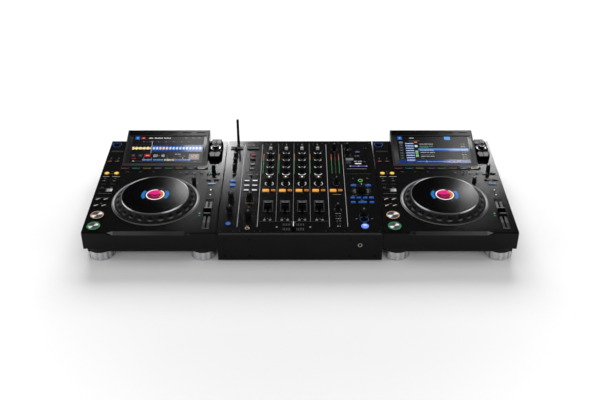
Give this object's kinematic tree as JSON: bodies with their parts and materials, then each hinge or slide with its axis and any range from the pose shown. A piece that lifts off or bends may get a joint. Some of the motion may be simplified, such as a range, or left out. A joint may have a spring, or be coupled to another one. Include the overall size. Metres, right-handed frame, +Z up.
{
  "type": "dual media player console for dj",
  "caption": "Two flat media players with jog wheels and tilted screens, either side of a channel mixer with faders, knobs and lit keys.",
  "frame": {"origin": "on the table, under the middle of the console's box", "axes": "+X along the row to the right as its user sees it, +Y from the front edge to the rear, +Z up"},
  "size_m": [1.0708, 0.4544, 0.1552],
  "materials": {
    "case_plastic": "satin black",
    "case_metal": "satin black powder coat",
    "gloss_black": "polished black",
    "screen_glass": "polished, lit from behind",
    "silver": "brushed",
    "rim_plastic": "fine grain",
    "knob_plastic": "soft touch",
    "key_plastic": "translucent",
    "orange_key": "lit translucent",
    "blue_key": "lit translucent",
    "rubber": "moulded",
    "board": "solder mask",
    "sheet_metal": "plain",
    "connector": "moulded",
    "brass": "plated",
    "screw_steel": "blackened",
    "bearing_plastic": "natural"
  },
  "bodies": {
    "console": {"case_screws": "screw_steel", "circuit_boards": "board", "connector_sockets": "connector", "display_screens": "screen_glass", "divider_strips": "silver", "fader_tracks": "sheet_metal", "headphone_jacks": "brass", "jog_bearings": "bearing_plastic", "jog_displays": "gloss_black", "jog_rings": "silver", "left_display_housing": "gloss_black", "left_top_case": "case_plastic", "mixer_base": "case_metal", "mixer_case": "case_metal", "mixer_front_panel": "case_metal", "mixer_knobs": "knob_plastic", "mixer_screen": "screen_glass", "player_bottom_pans": "case_metal", "player_feet": "silver", "power_supplies": "sheet_metal", "right_display_housing": "gloss_black", "right_top_case": "case_plastic", "rubber_feet": "rubber", "selector_pods": "gloss_black", "selector_switches": "knob_plastic"},
    "left_jog": {"left_jog_wheel": "rim_plastic", "left_jog_plate": "gloss_black"},
    "left_tempo": {"left_tempo_slider": "knob_plastic"},
    "left_play": {"left_play_button": "silver"},
    "left_cue": {"left_cue_button": "silver"},
    "left_direction": {"left_direction_lever": "gloss_black"},
    "left_selector": {"left_selector_knob": "knob_plastic"},
    "left_vinyl_speed": {"left_vinyl_speed_knob": "knob_plastic"},
    "left_jog_adjust": {"left_jog_adjust_knob": "knob_plastic"},
    "left_hot_cues": {"left_hot_cue_buttons": "key_plastic"},
    "left_deck_keys": {"left_deck_buttons": "key_plastic"},
    "right_jog": {"right_jog_wheel": "rim_plastic", "right_jog_plate": "gloss_black"},
    "right_tempo": {"right_tempo_slider": "knob_plastic"},
    "right_play": {"right_play_button": "silver"},
    "right_cue": {"right_cue_button": "silver"},
    "right_direction": {"right_direction_lever": "gloss_black"},
    "right_selector": {"right_selector_knob": "knob_plastic"},
    "right_vinyl_speed": {"right_vinyl_speed_knob": "knob_plastic"},
    "right_jog_adjust": {"right_jog_adjust_knob": "knob_plastic"},
    "right_hot_cues": {"right_hot_cue_buttons": "key_plastic"},
    "right_deck_keys": {"right_deck_buttons": "key_plastic"},
    "channel_1": {"channel_fader_1": "knob_plastic"},
    "channel_2": {"channel_fader_2": "knob_plastic"},
    "channel_3": {"channel_fader_3": "knob_plastic"},
    "channel_4": {"channel_fader_4": "knob_plastic"},
    "crossfader_carriage": {"crossfader": "knob_plastic"},
    "master_level_knob_body": {"master_level_knob": "knob_plastic"},
    "headphone_level_knob_body": {"headphone_level_knob": "knob_plastic"},
    "effect_depth_knob_body": {"effect_depth_knob": "knob_plastic"},
    "effect_selector": {"effect_selector_knob": "knob_plastic"},
    "cue_keys": {"cue_buttons": "orange_key"},
    "mixer_keys": {"mixer_buttons": "key_plastic"},
    "effect_on": {"effect_on_button": "blue_key"},
    "antenna_rod": {"antenna": "knob_plastic"}
  },
  "joints": [
    {"name": "left_jog_spin", "type": "hinge", "parent": "console", "child": "left_jog", "pos_m": [-0.3709, -0.08571, 0.088], "axis": [0, 0, 1], "continuous": true},
    {"name": "left_tempo_slide", "type": "slide", "parent": "console", "child": "left_tempo", "axis": [0, 1, 0], "range_m": [-0.05875, 0.04125]},
    {"name": "left_play_press", "type": "slide", "parent": "console", "child": "left_play", "axis": [0, 0, -1], "range_m": [0, 0.0015], "stiffness_N_per_m": 500, "springref_m": -0.001},
    {"name": "left_cue_press", "type": "slide", "parent": "console", "child": "left_cue", "axis": [0, 0, -1], "range_m": [0, 0.0015], "stiffness_N_per_m": 500, "springref_m": -0.001},
    {"name": "left_direction_rock", "type": "hinge", "parent": "console", "child": "left_direction", "pos_m": [-0.5079, -0.04221, 0.0855], "axis": [1, 0, 0], "range_deg": [-6, 6]},
    {"name": "left_selector_turn", "type": "hinge", "parent": "console", "child": "left_selector", "pos_m": [-0.2355, 0.15879, 0.101], "axis": [0, 0, 1], "continuous": true},
    {"name": "left_vinyl_speed_turn", "type": "hinge", "parent": "console", "child": "left_vinyl_speed", "pos_m": [-0.2334, 0.05729, 0.088], "axis": [0, 0, 1], "range_deg": [-140, 140]},
    {"name": "left_jog_adjust_turn", "type": "hinge", "parent": "console", "child": "left_jog_adjust", "pos_m": [-0.28043, -0.00223, 0.088], "axis": [0, 0, 1], "range_deg": [-140, 140]},
    {"name": "left_hot_cue_press", "type": "slide", "parent": "console", "child": "left_hot_cues", "axis": [0, 0, -1], "range_m": [0, 0.001], "stiffness_N_per_m": 500, "springref_m": -0.001},
    {"name": "left_deck_keys_press", "type": "slide", "parent": "console", "child": "left_deck_keys", "axis": [0, 0, -1], "range_m": [0, 0.001], "stiffness_N_per_m": 500, "springref_m": -0.001},
    {"name": "right_jog_spin", "type": "hinge", "parent": "console", "child": "right_jog", "pos_m": [0.3709, -0.08571, 0.088], "axis": [0, 0, 1], "continuous": true},
    {"name": "right_tempo_slide", "type": "slide", "parent": "console", "child": "right_tempo", "axis": [0, 1, 0], "range_m": [-0.05875, 0.04125]},
    {"name": "right_play_press", "type": "slide", "parent": "console", "child": "right_play", "axis": [0, 0, -1], "range_m": [0, 0.0015], "stiffness_N_per_m": 500, "springref_m": -0.001},
    {"name": "right_cue_press", "type": "slide", "parent": "console", "child": "right_cue", "axis": [0, 0, -1], "range_m": [0, 0.0015], "stiffness_N_per_m": 500, "springref_m": -0.001},
    {"name": "right_direction_rock", "type": "hinge", "parent": "console", "child": "right_direction", "pos_m": [0.2339, -0.04221, 0.0855], "axis": [1, 0, 0], "range_deg": [-6, 6]},
    {"name": "right_selector_turn", "type": "hinge", "parent": "console", "child": "right_selector", "pos_m": [0.5063, 0.15879, 0.101], "axis": [0, 0, 1], "continuous": true},
    {"name": "right_vinyl_speed_turn", "type": "hinge", "parent": "console", "child": "right_vinyl_speed", "pos_m": [0.5084, 0.05729, 0.088], "axis": [0, 0, 1], "range_deg": [-140, 140]},
    {"name": "right_jog_adjust_turn", "type": "hinge", "parent": "console", "child": "right_jog_adjust", "pos_m": [0.46137, -0.00223, 0.088], "axis": [0, 0, 1], "range_deg": [-140, 140]},
    {"name": "right_hot_cue_press", "type": "slide", "parent": "console", "child": "right_hot_cues", "axis": [0, 0, -1], "range_m": [0, 0.001], "stiffness_N_per_m": 500, "springref_m": -0.001},
    {"name": "right_deck_keys_press", "type": "slide", "parent": "console", "child": "right_deck_keys", "axis": [0, 0, -1], "range_m": [0, 0.001], "stiffness_N_per_m": 500, "springref_m": -0.001},
    {"name": "channel_1_slide", "type": "slide", "parent": "console", "child": "channel_1", "axis": [0, 1, 0], "range_m": [-0.03, 0.03]},
    {"name": "channel_2_slide", "type": "slide", "parent": "console", "child": "channel_2", "axis": [0, 1, 0], "range_m": [-0.03, 0.03]},
    {"name": "channel_3_slide", "type": "slide", "parent": "console", "child": "channel_3", "axis": [0, 1, 0], "range_m": [-0.03, 0.03]},
    {"name": "channel_4_slide", "type": "slide", "parent": "console", "child": "channel_4", "axis": [0, 1, 0], "range_m": [-0.03, 0.03]},
    {"name": "crossfader_slide", "type": "slide", "parent": "console", "child": "crossfader_carriage", "axis": [1, 0, 0], "range_m": [-0.0225, 0.0225]},
    {"name": "master_level_turn", "type": "hinge", "parent": "console", "child": "master_level_knob_body", "pos_m": [0.096, 0.17171, 0.088], "axis": [0, 0, 1], "range_deg": [-140, 140]},
    {"name": "headphone_level_turn", "type": "hinge", "parent": "console", "child": "headphone_level_knob_body", "pos_m": [-0.13, -0.15921, 0.088], "axis": [0, 0, 1], "range_deg": [-140, 140]},
    {"name": "effect_depth_turn", "type": "hinge", "parent": "console", "child": "effect_depth_knob_body", "pos_m": [0.1605, -0.15221, 0.088], "axis": [0, 0, 1], "range_deg": [-140, 140]},
    {"name": "effect_selector_turn", "type": "hinge", "parent": "console", "child": "effect_selector", "pos_m": [0.1605, -0.04021, 0.088], "axis": [0, 0, 1], "continuous": true},
    {"name": "cue_keys_press", "type": "slide", "parent": "console", "child": "cue_keys", "axis": [0, 0, -1], "range_m": [0, 0.001], "stiffness_N_per_m": 500, "springref_m": -0.001},
    {"name": "mixer_keys_press", "type": "slide", "parent": "console", "child": "mixer_keys", "axis": [0, 0, -1], "range_m": [0, 0.001], "stiffness_N_per_m": 500, "springref_m": -0.001},
    {"name": "effect_on_press", "type": "slide", "parent": "console", "child": "effect_on", "axis": [0, 0, -1], "range_m": [0, 0.001], "stiffness_N_per_m": 500, "springref_m": -0.001},
    {"name": "antenna_swing", "type": "hinge", "parent": "console", "child": "antenna_rod", "pos_m": [-0.176, 0.22261, 0.08], "axis": [0, 1, 0], "range_deg": [-85, 85]}
  ]
}
